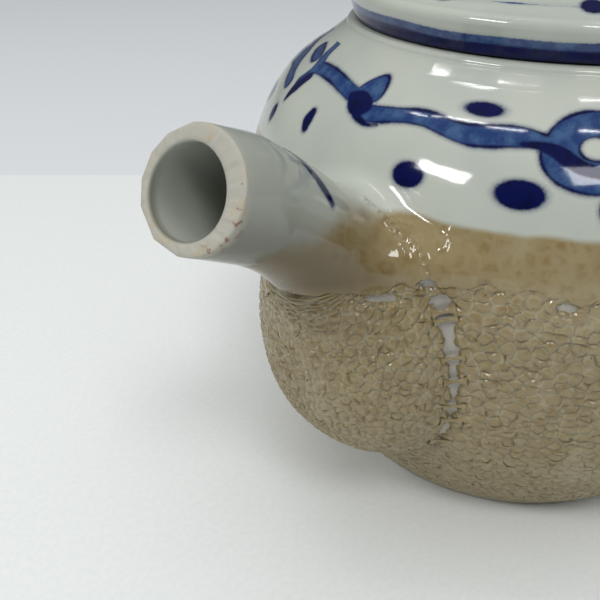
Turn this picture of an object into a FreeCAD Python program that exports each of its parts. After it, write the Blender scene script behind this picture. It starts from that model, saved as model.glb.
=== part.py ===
import FreeCAD, Part
import math
import os
from FreeCAD import Placement, Rotation, Vector

# A one-handed porcelain teapot, in millimetres. +Z is up, the spout points along -X and the handle
# along +X. The origin is on the pot's axis, in the plane of the foot's resting face. The pieces are
# the ones that a potter makes apart and then lutes together with slip. Only the lid lifts off.

# ---- Driving dimensions --------------------------------------------------------------------------
BELLY_RADIUS = 55.5          # widest radius of the pot
BELLY_HEIGHT = 54.0          # height of the widest ring
BELLY_DROP = 69.0            # vertical half axis of the ellipse that the lower wall follows
BELLY_STEPS = 6              # spans of the outline on that ellipse
NECK_RADIUS = 35.9           # outside of the mouth
NECK_TOP = 84.15             # height of the rim that the lid sits on
SHOULDER = ((53.0, 65.8), (46.4, 76.2), (40.3, 80.6))   # radius and height, from belly to neck
WALL = 4.0                   # porcelain with its glaze
FLOOR = 4.5
FLOOR_ROUND = 6.0            # where the inside floor turns up into the wall
MOUTH_RADIUS = 31.5
COLLAR_BOTTOM = 81.0
FOOT_HEIGHT = 3.0
FOOT_INNER_RADIUS = 28.0
FOOT_EDGE = 0.8              # rounding of the foot's outer edge

SPOUT_TILT = 35.0            # degrees above the horizon
LIP_CENTRE = (-81.7, 75.8)   # x and z
LIP_TURN = 8.0               # degrees that the ground lip faces to the left of the spout
BORE_RADIUS = 5.8
SPOUT_FLARE = ((0.0, 8.1), (6.0, 7.9), (12.0, 7.6), (18.0, 7.8), (24.0, 9.0), (30.0, 11.6), (36.0, 16.0))
SPOUT_WALL = 2.2
SPOUT_OVERRUN = 4.0          # of the tube beyond the lip centre, before the lip is ground

POUCH_CENTRE = (-39.4, 43.3)   # x and z of the bag under the spout
POUCH_AXES = (25.4, 21.4, 27.3)   # half axes along X, Y and Z
POUCH_WALL = 3.6
PORT_RADIUS = 9.0            # hole in the pot wall behind the bag
PORT_HEIGHT = 46.0
PORT_START = -38.0           # x, inside the pot

SIEVE_RADIUS = 13.0
SIEVE_WALL = 2.0
SIEVE_HOLE_RADIUS = 1.3
SIEVE_RINGS = ((0.0, 1), (19.0, 6), (37.0, 12))   # degrees off the sieve's axis, holes in the ring

HANDLE_PATH = (              # x and z along its middle, from the shoulder to the lower wall
    (47.0, 69.5), (60.0, 76.6), (75.0, 74.8), (82.4, 62.0), (78.0, 46.0), (64.5, 34.0), (46.0, 28.0))
HANDLE_WIDTH = 11.0
HANDLE_THICKNESS = 7.6

LID_GAP = 0.25               # between the rim and the lid
LID_FOOT_RADIUS = 35.9
LID_EDGE_RADIUS = 37.0
LID_EDGE_HEIGHT = 4.2        # from the seat to the start of the rounded edge
LID_EDGE_ROUND = 1.5
LID_TOP = 97.0
LID_WALL = 4.2
FLANGE_OUTER_RADIUS = 30.6
FLANGE_INNER_RADIUS = 27.2
FLANGE_DEPTH = 8.0
VENT_RADIUS = 1.3
VENT_OFFSET = 15.0           # of the steam hole from the lid's axis

KNOB_PROFILE = ((6.4, 95.0), (4.3, 98.6), (6.0, 101.4), (8.7, 105.0), (6.6, 109.2))   # radius and height
KNOB_TOP = 111.0

THROUGH = 30.0               # length of a cut that goes right through a wall
BEYOND = 1.0                 # how far a cut runs past the face that it opens

LID_SEAT = NECK_TOP + LID_GAP
UP = Vector(0, 0, 1)
AXIS_START = Vector(0, 0, 0)


def belly_outline():
    """Radius and height of the pot's outside, from the ground to the rim."""
    lower = []
    for step in range(BELLY_STEPS + 1):
        height = BELLY_HEIGHT * step / BELLY_STEPS
        drop = (height - BELLY_HEIGHT) / BELLY_DROP
        lower.append((BELLY_RADIUS * math.sqrt(1 - drop * drop), height))
    return lower + list(SHOULDER) + [(NECK_RADIUS, NECK_TOP)]


def inset(outline, distance):
    """The outline moved inwards, square to itself."""
    moved = []
    for i, (radius, height) in enumerate(outline):
        before = outline[max(i - 1, 0)]
        after = outline[min(i + 1, len(outline) - 1)]
        along_r, along_z = after[0] - before[0], after[1] - before[1]
        length = math.hypot(along_r, along_z)
        moved.append((radius - distance * along_z / length, height + distance * along_r / length))
    return moved


def turned(edges):
    """A solid turned about the pot's axis from edges that close a face beside it."""
    face = Part.Face(Part.Wire(edges))
    return face.revolve(AXIS_START, UP, 360)


def at(radius, height):
    """A point of a turned outline. The seam falls on +Y, away from the spout and the handle."""
    return Vector(0, radius, height)


def line(first, second):
    return Part.LineSegment(first, second).toShape()


def crown(edge, top):
    """An arc from a point to the axis, level where it meets the axis at the height of its top."""
    rise = top - edge.z
    radius = (edge.y ** 2 + rise ** 2) / (2 * rise)
    half_angle = math.asin(edge.y / radius) / 2
    middle = at(radius * math.sin(half_angle), top - radius * (1 - math.cos(half_angle)))
    return Part.Arc(edge, middle, at(0, top)).toShape()


def smooth(points):
    curve = Part.BSplineCurve()
    curve.interpolate(points)
    return curve.toShape()


def turned_outline(outline):
    """The solid inside an outline, closed by flat faces at its two ends."""
    points = [at(radius, height) for radius, height in outline]
    low, high = at(0, outline[0][1]), at(0, outline[-1][1])
    return turned([smooth(points), line(points[-1], high), line(high, low), line(low, points[0])])


def tube(radius, bottom, top):
    return Part.makeCylinder(radius, top - bottom, Vector(0, 0, bottom))


def ellipsoid(axes, centre):
    ball = Part.makeSphere(1.0)
    matrix = FreeCAD.Matrix()
    matrix.scale(axes[0], axes[1], axes[2])
    shape = ball.transformGeometry(matrix)
    shape.translate(centre)
    return shape


def along_spout(outline, start, end):
    """A solid turned about the spout's axis. The outline gives distance behind the lip and radius."""
    curve = smooth([Vector(0, radius, -back) for back, radius in outline])
    low, high = Vector(0, 0, start), Vector(0, 0, end)
    first, last = curve.Vertexes[0].Point, curve.Vertexes[-1].Point
    top = Vector(0, first.y, end)
    edges = [curve, line(last, low), line(low, high), line(high, top)]
    if end > first.z:
        edges.append(line(top, first))
    solid = Part.Face(Part.Wire(Part.__sortEdges__(edges))).revolve(AXIS_START, UP, 360)
    tilt = Rotation(Vector(0, 1, 0), -(90 - SPOUT_TILT))
    solid.Placement = Placement(Vector(LIP_CENTRE[0], 0, LIP_CENTRE[1]), tilt)
    return solid


def lip_cutter():
    """Everything in front of the ground lip."""
    block = Part.makeBox(2 * THROUGH, 2 * THROUGH, THROUGH, Vector(-THROUGH, -THROUGH, 0))
    tilt = Rotation(Vector(0, 1, 0), -(90 - SPOUT_TILT))
    turn = Rotation(UP, LIP_TURN)
    block.Placement = Placement(Vector(LIP_CENTRE[0], 0, LIP_CENTRE[1]), turn.multiply(tilt))
    return block


# ---- Shapes that several pieces share -------------------------------------------------------------
OUTLINE = belly_outline()
OUTSIDE = turned_outline(OUTLINE)
INNER_OUTLINE = inset(OUTLINE, WALL)
FLOOR_TOP = FOOT_HEIGHT + FLOOR
CHAMBER = turned_outline(INNER_OUTLINE[:-1]).cut(tube(BELLY_RADIUS, -WALL, FLOOR_TOP))
FLOOR_EDGE = [edge for edge in CHAMBER.Edges
              if abs(edge.BoundBox.ZMin - FLOOR_TOP) < 0.01 and edge.BoundBox.ZLength < 0.01]
MOUTH = tube(MOUTH_RADIUS, BELLY_HEIGHT, NECK_TOP + BEYOND)
CHAMBER = CHAMBER.makeFillet(FLOOR_ROUND, FLOOR_EDGE).fuse(MOUTH)
POUCH_MIDDLE = Vector(POUCH_CENTRE[0], 0, POUCH_CENTRE[1])
POUCH_OUTSIDE = ellipsoid(POUCH_AXES, POUCH_MIDDLE)
POUCH_INSIDE = ellipsoid([axis - POUCH_WALL for axis in POUCH_AXES], POUCH_MIDDLE)
SPOUT_LENGTH = SPOUT_FLARE[-1][0]
SPOUT_OUTSIDE = along_spout(SPOUT_FLARE, -SPOUT_LENGTH, SPOUT_OVERRUN)
BORE_OUTLINE = [(back, max(BORE_RADIUS, radius - SPOUT_WALL)) for back, radius in SPOUT_FLARE]
SPOUT_BORE = along_spout(BORE_OUTLINE, -SPOUT_LENGTH, SPOUT_OVERRUN + BEYOND)
PORT = Part.makeCylinder(PORT_RADIUS, THROUGH, Vector(PORT_START, 0, PORT_HEIGHT), Vector(-1, 0, 0))


def foot_ring():
    ring = OUTSIDE.common(tube(BELLY_RADIUS, 0, FOOT_HEIGHT))
    ring = ring.cut(tube(FOOT_INNER_RADIUS, -BEYOND, FOOT_HEIGHT))
    resting_edges = [edge for edge in ring.Edges
                     if edge.BoundBox.ZMax < 0.01 and edge.BoundBox.XMax > FOOT_INNER_RADIUS + BEYOND]
    return ring.makeFillet(FOOT_EDGE, resting_edges)


def pot_body():
    wall = OUTSIDE.cut(CHAMBER).common(tube(BELLY_RADIUS + BEYOND, FOOT_HEIGHT, COLLAR_BOTTOM))
    return wall.cut(PORT).cut(SPOUT_BORE)


def neck_collar():
    return OUTSIDE.common(tube(BELLY_RADIUS, COLLAR_BOTTOM, NECK_TOP)).cut(MOUTH)


def spout_pouch():
    return POUCH_OUTSIDE.cut(POUCH_INSIDE).cut(OUTSIDE).cut(SPOUT_OUTSIDE)


def spout_tube():
    return SPOUT_OUTSIDE.cut(SPOUT_BORE).cut(OUTSIDE).cut(POUCH_INSIDE).cut(lip_cutter())


def spout_strainer():
    """A domed sieve inside the pot wall, over the port."""
    middle = Vector(-BELLY_RADIUS + WALL - BEYOND, 0, PORT_HEIGHT)
    dome = Part.makeSphere(SIEVE_RADIUS, middle).cut(Part.makeSphere(SIEVE_RADIUS - SIEVE_WALL, middle))
    dome = dome.common(CHAMBER)
    for lean, count in SIEVE_RINGS:
        for index in range(count):
            turn = Rotation(Vector(1, 0, 0), 360.0 * index / count)
            direction = turn.multVec(Rotation(Vector(0, 1, 0), lean).multVec(Vector(1, 0, 0)))
            dome = dome.cut(Part.makeCylinder(SIEVE_HOLE_RADIUS, SIEVE_RADIUS + BEYOND, middle, direction))
    return dome


def handle_loop():
    path = Part.Wire([smooth([Vector(x, 0, z) for x, z in HANDLE_PATH])])
    start = path.Edges[0].Curve
    tangent = start.tangent(start.FirstParameter)[0]
    section = Part.Ellipse(Vector(0, 0, 0), HANDLE_WIDTH / 2, HANDLE_THICKNESS / 2).toShape()
    across, thick = Vector(0, 1, 0), tangent.cross(Vector(0, 1, 0))
    matrix = FreeCAD.Matrix(across.x, thick.x, tangent.x, HANDLE_PATH[0][0],
                            across.y, thick.y, tangent.y, 0,
                            across.z, thick.z, tangent.z, HANDLE_PATH[0][1], 0, 0, 0, 1)
    section.transformShape(matrix)
    sweep = Part.BRepOffsetAPI.MakePipeShell(path)
    sweep.setBiNormalMode(Vector(0, 1, 0))
    sweep.add(Part.Wire([section]))
    sweep.build()
    sweep.makeSolid()
    return sweep.shape().cut(OUTSIDE)


def lid_dome():
    edge_top = LID_SEAT + LID_EDGE_HEIGHT
    round_end = at(LID_EDGE_RADIUS - LID_EDGE_ROUND, edge_top + LID_EDGE_ROUND)
    round_middle = at(LID_EDGE_RADIUS - LID_EDGE_ROUND * (1 - math.sqrt(0.5)),
                      edge_top + LID_EDGE_ROUND * math.sqrt(0.5))
    edges = [
        line(at(FLANGE_INNER_RADIUS, LID_SEAT), at(LID_FOOT_RADIUS, LID_SEAT)),
        line(at(LID_FOOT_RADIUS, LID_SEAT), at(LID_EDGE_RADIUS, edge_top)),
        Part.Arc(at(LID_EDGE_RADIUS, edge_top), round_middle, round_end).toShape(),
        crown(round_end, LID_TOP),
        line(at(0, LID_TOP), at(0, LID_TOP - LID_WALL)),
        crown(at(FLANGE_INNER_RADIUS, LID_SEAT), LID_TOP - LID_WALL),
    ]
    return turned(edges).cut(Part.makeCylinder(VENT_RADIUS, THROUGH, Vector(VENT_OFFSET, 0, LID_SEAT)))


def lid_flange():
    bottom = LID_SEAT - FLANGE_DEPTH
    opening = tube(FLANGE_INNER_RADIUS, bottom - BEYOND, LID_SEAT + BEYOND)
    return tube(FLANGE_OUTER_RADIUS, bottom, LID_SEAT).cut(opening)


def lid_knob():
    outline = [at(radius, height) for radius, height in KNOB_PROFILE]
    top = at(0, KNOB_TOP)
    low = at(0, KNOB_PROFILE[0][1])
    knob = turned([smooth(outline), crown(outline[-1], KNOB_TOP), line(top, low), line(low, outline[0])])
    return knob.cut(lid_dome())


PIECES = {
    "pot_body": pot_body,
    "foot_ring": foot_ring,
    "neck_collar": neck_collar,
    "spout_pouch": spout_pouch,
    "spout_tube": spout_tube,
    "spout_strainer": spout_strainer,
    "handle_loop": handle_loop,
    "lid_dome": lid_dome,
    "lid_flange": lid_flange,
    "lid_knob": lid_knob,
}

os.makedirs("parts", exist_ok=True)
for node, make in PIECES.items():
    shape = make()
    box = shape.optimalBoundingBox()
    print(node, "solids", len(shape.Solids), "valid", shape.isValid(), "volume %.0f" % shape.Volume,
          "x %.2f %.2f" % (box.XMin, box.XMax), "y %.2f %.2f" % (box.YMin, box.YMax),
          "z %.2f %.2f" % (box.ZMin, box.ZMax))
    if len(shape.Solids) == 1:
        shape = shape.Solids[0]
    shape.exportStep("parts/%s.step" % node)
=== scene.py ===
import math

import bpy
import numpy as np
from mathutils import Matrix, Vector
from mathutils.geometry import delaunay_2d_cdt


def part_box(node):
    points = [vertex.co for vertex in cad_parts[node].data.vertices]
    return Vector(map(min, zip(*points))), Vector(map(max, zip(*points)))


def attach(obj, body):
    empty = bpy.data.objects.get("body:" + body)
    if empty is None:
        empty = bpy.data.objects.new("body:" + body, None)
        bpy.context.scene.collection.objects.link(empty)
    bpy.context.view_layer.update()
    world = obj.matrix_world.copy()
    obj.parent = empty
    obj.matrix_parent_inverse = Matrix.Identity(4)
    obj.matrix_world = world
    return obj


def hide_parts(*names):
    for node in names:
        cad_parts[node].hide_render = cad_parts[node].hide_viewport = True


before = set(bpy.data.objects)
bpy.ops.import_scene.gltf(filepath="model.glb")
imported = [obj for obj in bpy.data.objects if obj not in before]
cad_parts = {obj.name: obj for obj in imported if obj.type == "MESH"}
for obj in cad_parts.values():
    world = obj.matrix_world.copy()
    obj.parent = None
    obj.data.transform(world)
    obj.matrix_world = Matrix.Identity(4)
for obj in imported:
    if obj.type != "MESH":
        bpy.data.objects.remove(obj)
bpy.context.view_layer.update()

# A porcelain teapot with cobalt painting on its shoulder and a thick crawled glaze below it. Shapes are
# worked out here in millimetres, in the frame of the CAD model: +Z up, the spout along -X, the handle
# along +X. Azimuths are degrees from +X towards +Y, so the spout is at 180. "Settling" a point means
# moving it square to the surface until it lies on it.

MM = 0.001
FAR = 9.0                    # stands for "nowhere near" in the fields that hold distances
RANDOM = np.random.default_rng(11)


def box(node):
    low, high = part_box(node)
    return np.array(low) / MM, np.array(high) / MM


# ---- Driving sizes, from the frame where the frame has them ----
BELLY_RADIUS = round(box("pot_body")[1][1], 1)
FOOT_HEIGHT = round(box("foot_ring")[1][2], 1)
COLLAR_BOTTOM = round(box("neck_collar")[0][2], 1)
NECK_TOP = round(box("neck_collar")[1][2], 2)
LID_SEAT = round(box("lid_dome")[0][2], 2)
LID_TOP = round(box("lid_dome")[1][2], 1)
LID_RADIUS = round(box("lid_dome")[1][1], 1)
FLANGE_BOTTOM = round(box("lid_flange")[0][2], 2)
KNOB_TOP = round(box("lid_knob")[1][2], 1)

BELLY_HEIGHT = 54.0
BELLY_DROP = 69.0            # vertical half axis of the lower wall's ellipse
SHOULDER = ((53.0, 65.8), (46.4, 76.2), (40.3, 80.6), (35.9, NECK_TOP))
WALL = 4.0
MOUTH_RADIUS = 31.5
FLOOR_TOP = 7.5
FLOOR_ROUND = 6.0            # where the inside floor turns up into the wall
PORT_HEIGHT = 46.0           # of the hole in the wall behind the bag
PORT_RADIUS = 9.0
FOOT_INNER = 28.0
FOOT_ROUND = 0.8

POUCH_CENTRE = np.array([-39.4, 0.0, 43.3])
POUCH_AXES = np.array([25.4, 21.4, 27.3])
POUCH_FULLNESS = 2.16        # 2 would make the bag an ellipsoid
POUCH_BLEND = 6.0            # how widely the bag runs into the tube
CREASE_BLEND = 0.8           # how widely the bag runs into the wall
FILLET_BLEND = 8.0           # how much more widely the tube runs into the shoulder
FILLET_LOSS = 0.88           # share of that which is gone at the fillet's upper end
LIP = np.array([-81.7, 0.0, 75.8])
SPOUT_TILT = math.radians(34.0)
SPOUT_BOW = (0.24, 0.0105)   # how the tube's centre line bows up between its ends
SPOUT_FLARE = ((-3, 8.0), (0, 8.0), (5, 8.15), (11.5, 7.95), (18, 8.0), (24, 8.7), (30, 10.2), (36, 12.8))
SPOUT_ROOT = 40.0            # behind the lip, where the tube ends inside the pot
LIP_TILT = math.radians(27.0)
LIP_TURN = math.radians(8.0)
BORE_RADIUS = 5.95
BORE_SHIFT = (-0.45, 0.6)    # the bore is nearer to the tube's left and lower side: up, left

HANDLE_PATH = ((47, 69.5), (60, 76.6), (75, 74.8), (82.4, 62), (78, 46), (64.5, 34), (46, 28))
HANDLE_HALF_WIDTH = 5.5
HANDLE_HALF_THICK = 3.8

LID_FOOT_RADIUS = 35.9
LID_EDGE_HEIGHT = 4.2        # from the seat to the rounded edge
LID_EDGE_ROUND = 1.5
LID_WALL = 4.2
FLANGE_INNER = 27.2
FLANGE_OUTER = 30.6
KNOB_PROFILE = ((6.4, 95.0), (4.3, 98.6), (6.0, 101.4), (8.7, 105.0), (6.6, 109.2))

DIP_HEIGHT = 65.9            # the pot was dipped into the tan glaze up to this level line
CRAWL_TOP = 58.6             # above this line the tan glaze has stayed whole
CRAWL_BOTTOM = 3.4
BELLY_CELL = (2.15, 1.6)     # width and height of a scale of the crawled glaze
POUCH_CELL = 1.62
CREASE_HALF = 0.75           # half width of the bare channel between the bag and the wall
GLAZE_DEPTH = 0.6            # depth of the grooves in the crawled glaze
PORCELAIN_DEPTH = 0.8        # of the porcelain under the crawled glaze

OUTWARD = np.array([-math.cos(SPOUT_TILT), 0.0, math.sin(SPOUT_TILT)])
SPOUT_UP = np.array([math.sin(SPOUT_TILT), 0.0, math.cos(SPOUT_TILT)])
LEFT = np.array([0.0, 1.0, 0.0])


# ---- Curves and distance fields ----
def natural_spline(points, count):
    """Evenly spaced points on the smooth curve through a few given ones."""
    points = np.array(points, float)
    steps = np.linalg.norm(np.diff(points, axis=0), axis=1)
    knots = np.concatenate([[0], np.cumsum(steps)])
    last = len(points) - 1
    matrix, right = np.eye(last + 1), np.zeros_like(points)
    for i in range(1, last):
        matrix[i, i - 1:i + 2] = steps[i - 1], 2 * (steps[i - 1] + steps[i]), steps[i]
        right[i] = 6 * ((points[i + 1] - points[i]) / steps[i] - (points[i] - points[i - 1]) / steps[i - 1])
    bend = np.linalg.solve(matrix, right)
    t = np.linspace(0, knots[-1], count)
    i = np.clip(np.searchsorted(knots, t, side="right") - 1, 0, last - 1)
    a = ((knots[i + 1] - t) / steps[i])[:, None]
    b = 1 - a
    reach = (steps[i] ** 2 / 6)[:, None]
    return a * points[i] + b * points[i + 1] + reach * ((a ** 3 - a) * bend[i] + (b ** 3 - b) * bend[i + 1])


def belly_points():
    heights = [BELLY_HEIGHT * k / 6 for k in range(7)]
    lower = [(BELLY_RADIUS * math.sqrt(1 - ((z - BELLY_HEIGHT) / BELLY_DROP) ** 2), z) for z in heights]
    return lower + list(SHOULDER)


OUTLINE = natural_spline(belly_points(), 1500)
OUTLINE_SLOPE = np.gradient(OUTLINE[:, 0], OUTLINE[:, 1])
OUTLINE_ARC = np.concatenate([[0], np.cumsum(np.linalg.norm(np.diff(OUTLINE, axis=0), axis=1))])
FLARE = natural_spline(SPOUT_FLARE, 300)


def radius_at(z):
    return np.interp(z, OUTLINE[:, 1], OUTLINE[:, 0])


def arc_at(z):
    return np.interp(z, OUTLINE[:, 1], OUTLINE_ARC)


def step(low, high, x):
    t = np.clip((x - low) / (high - low), 0, 1)
    return t * t * (3 - 2 * t)


def smooth_min(a, b, width):
    share = np.clip(0.5 + 0.5 * (b - a) / width, 0, 1)
    return b + (a - b) * share - width * share * (1 - share)


def body_distance(p):
    slope = np.interp(p[..., 2], OUTLINE[:, 1], OUTLINE_SLOPE)
    return (np.hypot(p[..., 0], p[..., 1]) - radius_at(p[..., 2])) / np.sqrt(1 + slope ** 2)


def pouch_distance(p):
    q = np.abs(p - POUCH_CENTRE) / POUCH_AXES
    size = np.maximum((q ** POUCH_FULLNESS).sum(-1) ** (1 / POUCH_FULLNESS), 1e-6)
    slope = np.linalg.norm((q / size[..., None]) ** (POUCH_FULLNESS - 1) / POUCH_AXES, axis=-1)
    return (size - 1) / slope


def bow(back):
    return SPOUT_BOW[0] * back - SPOUT_BOW[1] * back ** 2


def spout_local(p):
    """Distance behind the lip, height over the tube's centre line and distance to its left."""
    v = p - LIP
    back = -(v @ OUTWARD)
    return back, v @ SPOUT_UP - bow(back), v[..., 1]


def flare_at(back):
    return np.interp(back, FLARE[:, 0], FLARE[:, 1])


def spout_distance(p):
    back, up, left = spout_local(p)
    up = up + bow(back) - bow(np.minimum(back, SPOUT_ROOT))
    return np.maximum(np.hypot(up, left) - flare_at(back), back - SPOUT_ROOT)


def growth_distance(p):
    """The bag and the tube that grows out of it."""
    return smooth_min(pouch_distance(p), spout_distance(p), POUCH_BLEND)


def pot_distance(p):
    """The whole outside without the handle. The joint is a sharp crease low down, a wide fillet beside the
    tube, and narrow again on the shoulder."""
    height = p[..., 2]
    width = CREASE_BLEND + FILLET_BLEND * step(54, 61, height) * (1 - FILLET_LOSS * step(61.5, 67, height))
    return smooth_min(growth_distance(p), body_distance(p), width)


def gradient(field, p, reach=0.05):
    steps = []
    for axis in np.eye(3) * reach:
        steps.append((field(p + axis) - field(p - axis)) / (2 * reach))
    return np.stack(steps, -1)


def settle(field, p, rounds=5):
    for _ in range(rounds):
        slope = gradient(field, p)
        p = p - (field(p) / np.maximum((slope ** 2).sum(-1), 0.05))[..., None] * slope
    return p


def unit(v):
    return v / np.maximum(np.linalg.norm(v, axis=-1, keepdims=True), 1e-9)


def azimuth_of(p):
    return np.degrees(np.arctan2(p[..., 1], p[..., 0])) % 360


def ripple(x, *waves):
    """A sum of sines. Each wave is its height, its turns per unit of x and its phase."""
    return sum(height * np.sin(turns * x + phase) for height, turns, phase in waves)


# ---- Meshes ----
def make_piece(name, points, faces, body, material, replaces=(), fields=None, normals=None):
    """A mesh object from points in millimetres and a list of face tables, riding on a CAD body."""
    mesh = bpy.data.meshes.new(name)
    mesh.vertices.add(len(points))
    mesh.vertices.foreach_set("co", (np.asarray(points) * MM).astype(np.float32).ravel())
    tables = [np.asarray(table, np.int32) for table in faces if len(table)]
    corners = np.concatenate([table.ravel() for table in tables])
    sizes = np.concatenate([np.full(len(table), table.shape[1]) for table in tables])
    mesh.loops.add(len(corners))
    mesh.loops.foreach_set("vertex_index", corners)
    mesh.polygons.add(len(sizes))
    mesh.polygons.foreach_set("loop_start", (np.cumsum(sizes) - sizes).astype(np.int32))
    mesh.update(calc_edges=True)
    for field, values in (fields or {}).items():
        attribute = mesh.attributes.new(field, "FLOAT", "POINT")
        attribute.data.foreach_set("value", np.asarray(values, np.float32))
    mesh.polygons.foreach_set("use_smooth", np.ones(len(sizes), bool))
    if normals is not None:
        mesh.normals_split_custom_set_from_vertices(normals.astype(np.float32))
    mesh.validate()
    piece = bpy.data.objects.new(name, mesh)
    bpy.context.scene.collection.objects.link(piece)
    mesh.materials.append(material)
    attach(piece, body)
    if replaces:
        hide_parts(*replaces)


def around(count):
    """Angles of evenly spaced places on a circle."""
    return np.radians(np.arange(count) * 360 / count)


def without_loose_points(points, faces):
    used = np.unique(np.concatenate([table.ravel() for table in faces]))
    new_index = np.full(len(points), -1)
    new_index[used] = np.arange(len(used))
    return used, [new_index[table] for table in faces]


def turned(outline, segments):
    """Points and quads of an outline of radius and height, turned about the pot's axis."""
    outline = np.array(outline, float)
    turn = around(segments)
    points = np.stack([outline[:, 0, None] * np.cos(turn), outline[:, 0, None] * np.sin(turn),
                       np.broadcast_to(outline[:, 1, None], (len(outline), segments))], -1)
    return points.reshape(-1, 3), grid_faces(len(outline), segments, True)


def capped(points, rings, segments, height):
    """Closes turned points at the axis: the points with the middle added, and the triangles to it."""
    last = np.arange(segments) + (rings - 1) * segments
    fan = np.stack([last, np.roll(last, -1), np.full(segments, len(points))], -1)
    return np.concatenate([points, [[0, 0, height]]]), fan


def grid_faces(rows, columns, closed):
    last = columns if closed else columns - 1
    row, column = np.meshgrid(np.arange(rows - 1), np.arange(last), indexing="ij")
    after = (column + 1) % columns
    corners = [row * columns + column, row * columns + after,
               (row + 1) * columns + after, (row + 1) * columns + column]
    return np.stack(corners, -1).reshape(-1, 4)


def arc(centre, radius, start, end, count):
    """Points of a round stretch of an outline, from one angle to another in degrees."""
    angles = np.radians(np.linspace(start, end, count))
    return [(centre[0] + radius * math.cos(a), centre[1] + radius * math.sin(a)) for a in angles]


def crown(radius, height, top, count):
    """Points from an edge to the axis on a ball that is level at the top."""
    ball = (radius ** 2 + (top - height) ** 2) / (2 * (top - height))
    start = math.asin(radius / ball)
    return [(ball * math.sin(start * (1 - k / count)), top - ball * (1 - math.cos(start * (1 - k / count))))
            for k in range(count + 1)]


def surface_net(field, low, high, pitch):
    """Points and quads near the zero surface of a distance field, inside a box."""
    axes = [np.arange(a, b + pitch, pitch) for a, b in zip(low, high)]
    inside = np.empty([len(axis) for axis in axes], bool)
    ys, zs = np.meshgrid(axes[1], axes[2], indexing="ij")
    for i, x in enumerate(axes[0]):
        inside[i] = field(np.stack([np.full_like(ys, x), ys, zs], -1)) < 0
    corner_count = sum(inside[a:a - 1 or None, b:b - 1 or None, c:c - 1 or None].astype(np.int8)
                       for a in (0, 1) for b in (0, 1) for c in (0, 1))
    mixed = (corner_count > 0) & (corner_count < 8)
    cells = np.argwhere(mixed)
    index = np.full(mixed.shape, -1)
    index[mixed] = np.arange(len(cells))
    points = np.array(low) + (cells + 0.5) * pitch
    quads = []
    for axis in range(3):
        first = np.take(inside, range(inside.shape[axis] - 1), axis)
        second = np.take(inside, range(1, inside.shape[axis]), axis)
        edges = np.argwhere(first != second)
        leaving = first[first != second]
        b, c = (axis + 1) % 3, (axis + 2) % 3
        room = np.all([(edges[:, k] > 0) & (edges[:, k] < inside.shape[k] - 1) for k in (b, c)], axis=0)
        edges, leaving = edges[room], leaving[room]
        around = []
        for shift_b, shift_c in ((1, 1), (0, 1), (0, 0), (1, 0)):
            cell = edges.copy()
            cell[:, b] -= shift_b
            cell[:, c] -= shift_c
            around.append(index[tuple(cell.T)])
        quad = np.stack(around, -1)
        quad[~leaving] = quad[~leaving][:, ::-1]
        quads.append(quad)
    return points, np.concatenate(quads)


def relaxed(field, points, quads, rounds=3):
    """Evens out the points of a surface net and settles them on the surface."""
    points = settle(field, points, 4)
    pairs = np.concatenate([quads[:, [0, 1]], quads[:, [1, 2]], quads[:, [2, 3]], quads[:, [3, 0]]])
    pairs = np.concatenate([pairs, pairs[:, ::-1]])
    count = np.maximum(np.bincount(pairs[:, 0], minlength=len(points)), 1)
    for _ in range(rounds):
        mean = np.stack([np.bincount(pairs[:, 0], points[pairs[:, 1], k], len(points)) for k in range(3)], -1)
        points = settle(field, 0.4 * points + 0.6 * mean / count[:, None], 2)
    return points


# ---- Painting on the shoulder ----
# Every path is azimuth and height. The pattern repeats round the pot.
MOTIFS = 5
REPEAT = 360.0 / MOTIFS
MOTIF_START, MOTIF_SPAN = 120, 112   # azimuths that the first motif covers
RIBBON = ((174.0, 76.9), (181.5, 77.5), (187.0, 77.8), (194.0, 77.3), (202.0, 77.7), (208.0, 77.2),
          (211.0, 76.4), (207.5, 76.1), (201.5, 75.8), (195.5, 75.5), (190.5, 76.1), (180.5, 76.0),
          (173.5, 76.2))
RING_OUTSIDE = (216.0, 75.75, 8.3, 3.95)   # ovals: azimuth, height, half turn, half rise
RING_HOLE = (216.0, 76.3, 2.5, 1.05)
KNOT = ((167.8, 77.5), (171.5, 78.1), (175.2, 76.6), (173.2, 75.6), (170.0, 76.1))
RING_SHADE = ((204.5, 76.2), (210.0, 75.8), (213.5, 74.5), (217.5, 73.9))
STEM = ((149.5, 78.2), (157.0, 78.4), (168.7, 77.5))
LEAF = ((168.5, 77.7), (169.6, 79.0), (171.3, 79.9), (173.5, 80.1), (175.3, 77.9), (172.0, 77.6))
TAIL = ((173.0, 75.6), (176.5, 75.0), (178.6, 75.3))
OUTER_ARC = ((128.0, 82.3), (126.8, 80.6), (133.0, 77.6), (138.5, 76.0), (143.7, 74.6))
INNER_BAND = ((142.6, 82.8), (145.5, 81.2), (146.5, 79.8), (149.7, 77.5), (149.1, 76.0))
LIGHT_PATCH = ((138.5, 79.6), (144.2, 78.7))
PETAL = ((150.6, 76.8), (149.0, 74.4), (148.6, 73.0))
DOTS = ((196.6, 79.0, 3.3, 1.0), (188.1, 70.8, 2.5, 1.5), (205.6, 70.9, 3.5, 1.6), (146.1, 70.1, 1.2, 1.3))
SLANTED_DOT = ((162.0, 73.8), (161.9, 72.7), (162.3, 71.7))
SPOUT_STROKE = (             # behind the lip, to the left of the tube's top, half width
    (7.6, -1.6, 0.2), (11.4, -2.6, 0.5), (13.5, -4.6, 0.95), (15.8, -6.2, 0.9), (16.6, -6.7, 0.6))
BRUSH_SPREAD = 0.16          # how far the cobalt spreads under the glaze
OUTLINE_HALF = 0.2           # half width of the dark line that edges each wash
NO_OUTLINE = -0.6


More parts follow.
